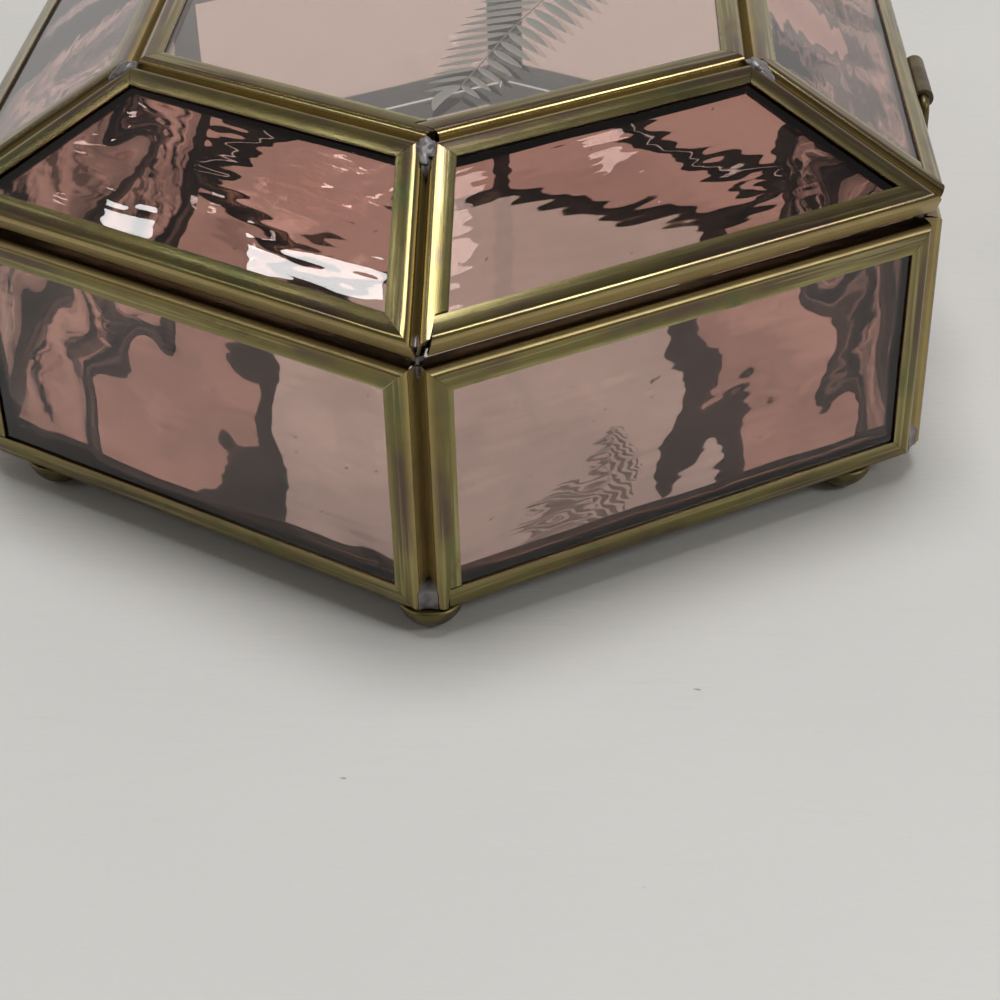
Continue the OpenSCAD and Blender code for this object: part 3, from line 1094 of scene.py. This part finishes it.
class CASKET_OT_solder(bpy.types.Operator):
    """Run solder into the ends of every seam"""

    bl_idname = "casket.solder"
    bl_label = "Solder"

    def execute(self, context):
        plan, came = context.scene.casket_plan, context.scene.casket_came
        run = 3.4 * MM  # length of a full fill
        bm = bmesh.new()
        for i in range(6):
            seam = seam_place(plan, i, 0, math.pi / 2)
            low, high = plan.wall_low + 0.25 * MM, plan.wall_high - 0.2 * MM
            add_groove_fill(bm, seam, low, low + run, TURN, plan, came, 3.0 * i)
            add_groove_fill(bm, seam, high, high - 0.5 * run, TURN, plan, came, 3.0 * i + 50, 2.0)
            rest = at(-came_depth(came) / 2 / math.cos(TURN / 2) - 1.8 * MM, 0, plan.wall_high)
            add_blob(bm, seam @ rest, (0.7 * MM, 0.8 * MM, plan.lid_gap - 0.12 * MM), 0.05, 1.0 * i)
        self.add_leg_joints(bm, plan)
        self.settle_beads(bm, "casket", "wall_solder")

        bm = bmesh.new()
        height = lid_height(plan, came)
        rise = math.atan(math.tan(plan.slope_angle) * math.sin(TURN))
        hip = (ridge(plan, came)[1] - height) / math.sin(rise)
        foot, head = 1.2 * MM, hip - 1.0 * MM
        for i in range(6):
            seam = seam_place(plan, i, height, rise)
            add_groove_fill(bm, seam, foot, foot + 0.6 * run, hip_turn(plan), plan, came, 3.0 * i + 7, 1.5)
            add_groove_fill(bm, seam, head, head - run, hip_turn(plan), plan, came, 3.0 * i + 9)
            for k, (x, y, z, size) in enumerate(((-0.85, 0.0, -1.3, 1.2), (-0.95, -0.25, -2.4, 0.9))):
                spot = Matrix.Translation(Vector((x, y, hip / MM + z)) * MM)
                add_blob(bm, seam @ spot, (0.7 * size * MM, size * MM, 1.3 * size * MM), 0.35, 2.0 * i + k)
        low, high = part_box("lift_tab")
        joint = at(0, low.y + 1.6 * MM, high.z - 2.0 * MM)
        add_blob(bm, joint, (3.6 * MM, 0.42 * MM, 0.7 * MM), 0.1, 30.0)
        self.settle_beads(bm, "lid", "lid_solder")
        return {"FINISHED"}

    @staticmethod
    def settle_beads(bm, body, node):
        turn_outwards(bm)
        settle(add_object(node + "_beads", bm, material("tin_solder"), 60), body, node, None)

    @staticmethod
    def add_leg_joints(bm, plan):
        """A smear of solder round each leg of the hinge wires."""
        for name in ("right", "left"):
            low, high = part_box("hinge_wire_" + name)
            thick = high.y - low.y
            for x in (low.x + thick / 2, high.x - thick / 2):
                for drop, size in ((0.9, 1.0), (2.0, 0.85)):
                    spot = at(x, low.y + 0.25 * thick, plan.wall_high - drop * MM)
                    add_blob(bm, spot, (1.15 * size * MM, 0.42 * thick, 0.9 * size * MM), 0.12, x * 500 + drop)


class CASKET_OT_feet(bpy.types.Operator):
    """Press the dome feet"""

    bl_idname = "casket.feet"
    bl_label = "Feet"

    def execute(self, context):
        for name in POINTS:
            node = "foot_" + name
            low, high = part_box(node)
            middle = (low + high) / 2
            radius, tall = (high.x - low.x) / 2, high.z - low.z
            flat = 1.2 * MM
            ball = (radius ** 2 + tall ** 2 - flat ** 2) / (2 * tall)
            reach = math.hypot(flat, ball)
            profile = [(0, 0), (0.5 * flat, 0), (0.92 * flat, 0)]
            steps = 12
            for k in range(1, steps + 1):
                height = tall * (k / steps) ** 1.25 * 0.86
                profile.append((math.sqrt(reach ** 2 - (ball - height) ** 2), height))
            profile += [(radius - 0.02 * MM, tall * 0.93), (radius - 0.15 * MM, tall * 0.985), (radius * 0.93, tall),
                        (0.4 * radius, tall), (0, tall)]
            bm = bmesh.new()
            add_lathe(bm, profile, at(middle.x, middle.y, low.z))
            turn_outwards(bm)
            piece = add_object(node + "_pressed", bm, material("foot_brass"), 40)
            settle(piece, "casket", node)
        return {"FINISHED"}


class CASKET_OT_hinges(bpy.types.Operator):
    """Give the hinges and the lift tab their brass"""

    bl_idname = "casket.hinges"
    bl_label = "Hinges and tab"

    def execute(self, context):
        for node in ("hinge_tube_right", "hinge_tube_left", "hinge_wire_right", "hinge_wire_left"):
            dress(node, "hinge_brass")
        dress("lift_tab", "foot_brass")
        return {"FINISHED"}


class CASKET_OT_stage(bpy.types.Operator):
    """Set the table, the light and the camera"""

    bl_idname = "casket.stage"
    bl_label = "Stage"

    def execute(self, context):
        stage = context.scene.casket_stage
        self.add_table(stage)
        self.add_light(context.scene, stage)
        self.add_camera(context.scene, stage)
        context.scene.view_settings.view_transform = "Standard"
        return {"FINISHED"}

    @staticmethod
    def add_table(stage):
        bm = bmesh.new()
        bmesh.ops.create_grid(bm, x_segments=1, y_segments=1, size=1.5)
        finish = Finish("painted_table")
        brush = finish.speckle(finish.place((40, 4, 1)), 14, 5.0, 0.65)
        cloud = finish.speckle(finish.place(), 9, 2.0)
        mottle = finish.speckle(finish.place(), 130, 4.0, 0.65)
        speck = finish.speckle(finish.place((1, 0.6, 1)), 520, 1.0).between(0.80, 0.84)
        tone = finish.mix(cloud.between(0.3, 0.7), stage.table, scaled(stage.table, 0.93))
        tone = finish.mix(brush.between(0.55, 0.8) * 0.5, tone, scaled(stage.table, 0.9))
        tone = finish.mix(speck * 0.8, tone, scaled(stage.table, 0.35))
        height = 0.5 * brush + 0.5 * mottle
        finish.shader(Base_Color=tone, Roughness=0.5 + 0.15 * mottle, Normal=finish.bump(height, 0.0006, 0.6))
        table = add_object("table", bm, finish.material)

    @staticmethod
    def add_light(scene, stage):
        """A room that is brightest along the horizon, and five lamps."""
        world = bpy.data.worlds.new("studio")
        world.use_nodes = True
        sky = Nodes(world.node_tree)
        sky.tree.nodes.clear()
        x, _, z = sky.add("ShaderNodeTexCoord", output="Generated").parts()
        ramp = sky.add("ShaderNodeValToRGB", {"Fac": z})
        stops = ramp.socket.node.color_ramp.elements
        warm = (1.0, 0.94, 0.90)
        for height, strength, tint in (
            (0, stage.horizon, (1.0, 0.96, 0.93)), (1, stage.zenith, (1.0, 0.95, 0.93)),
            (0.42, 0.97 * stage.horizon, warm), (0.57, 0.64 * stage.horizon, warm), (0.82, stage.zenith, warm),
        ):
            stop = stops[height] if height in (0, 1) else stops.new(height)
            stop.color = rgba(scaled(tint, strength))
        light = sky.add("ShaderNodeBackground", {"Color": ramp, "Strength": x.between(-0.35, 0.45, 1.0, stage.near)})
        sky.add("ShaderNodeOutputWorld", {"Surface": light})
        scene.world = world
        for name, turn, rise, away, size, power in (
            ("key", 180, 84, 1.6, (0.7, 0.7), stage.key),
            ("window", 62, 38, 1.5, (0.32, 0.32), stage.window),
            ("doorway", -64, 38, 1.5, (0.2, 0.2), 0.25 * stage.window),
            ("skylight", -113.3, 59.0, 1.2, (0.022, 0.09), stage.skylight),
            ("skylight_low", -113.3, 53.0, 1.2, (0.025, 0.035), 0.4 * stage.skylight),
        ):
            turn, rise = math.radians(turn), math.radians(rise)
            place = away * Vector((*on_circle(turn) * math.cos(rise), math.sin(rise)))
            lamp = bpy.data.lights.new(name, "AREA")
            lamp.shape = "RECTANGLE"
            lamp.size, lamp.size_y = size
            lamp.energy = power
            holder = bpy.data.objects.new(name, lamp)
            holder.location = place
            holder.rotation_euler = (-place).to_track_quat("-Z", "Y").to_euler()
            scene.collection.objects.link(holder)

    @staticmethod
    def add_camera(scene, stage):
        ahead = Vector((*on_circle(math.pi - stage.yaw) * math.cos(stage.pitch), -math.sin(stage.pitch)))
        right = Vector((math.sin(stage.yaw), math.cos(stage.yaw), 0))
        level = Matrix((right, right.cross(ahead), -ahead)).transposed()
        turned = level @ Matrix.Rotation(stage.roll, 3, "Z")
        lens = bpy.data.cameras.new("camera")
        lens.lens = stage.lens
        lens.sensor_width = 36
        lens.clip_start = 0.01
        camera = bpy.data.objects.new("camera", lens)
        camera.matrix_world = Matrix.Translation(stage.eye) @ turned.to_4x4()
        scene.collection.objects.link(camera)
        scene.camera = camera


class CASKET_PT_panel(bpy.types.Panel):
    """Every step, in the order in which they run"""

    bl_idname = "CASKET_PT_panel"
    bl_label = "Glass casket box"
    bl_space_type = "VIEW_3D"
    bl_region_type = "UI"
    bl_category = "Casket"

    def draw(self, context):
        for step in STEPS:
            self.layout.operator(step.bl_idname)
        for name in GROUPS:
            group = getattr(context.scene, name)
            box = self.layout.box()
            for size in group.__annotations__:
                box.prop(group, size)


STEPS = (
    CASKET_OT_finishes, CASKET_OT_cames, CASKET_OT_rose_panes, CASKET_OT_clear_top, CASKET_OT_floor,
    CASKET_OT_solder, CASKET_OT_feet, CASKET_OT_hinges, CASKET_OT_stage,
)
GROUPS = {
    "casket_plan": CasketPlan, "casket_came": CasketCame, "casket_glass": CasketGlass,
    "casket_finish": CasketFinish, "casket_stage": CasketStage,
}


def register():
    for cls in (*GROUPS.values(), *STEPS, CASKET_PT_panel):
        bpy.utils.register_class(cls)
    for name, group in GROUPS.items():
        setattr(bpy.types.Scene, name, PointerProperty(type=group))


def unregister():
    for name in GROUPS:
        delattr(bpy.types.Scene, name)
    for cls in reversed((*GROUPS.values(), *STEPS, CASKET_PT_panel)):
        bpy.utils.unregister_class(cls)


def main():
    register()
    bpy.ops.casket.finishes()
    bpy.ops.casket.cames()
    bpy.ops.casket.rose_panes()
    bpy.ops.casket.clear_top()
    bpy.ops.casket.floor()
    bpy.ops.casket.solder()
    bpy.ops.casket.feet()
    bpy.ops.casket.hinges()
    bpy.ops.casket.stage()


if __name__ == "__main__":
    main()
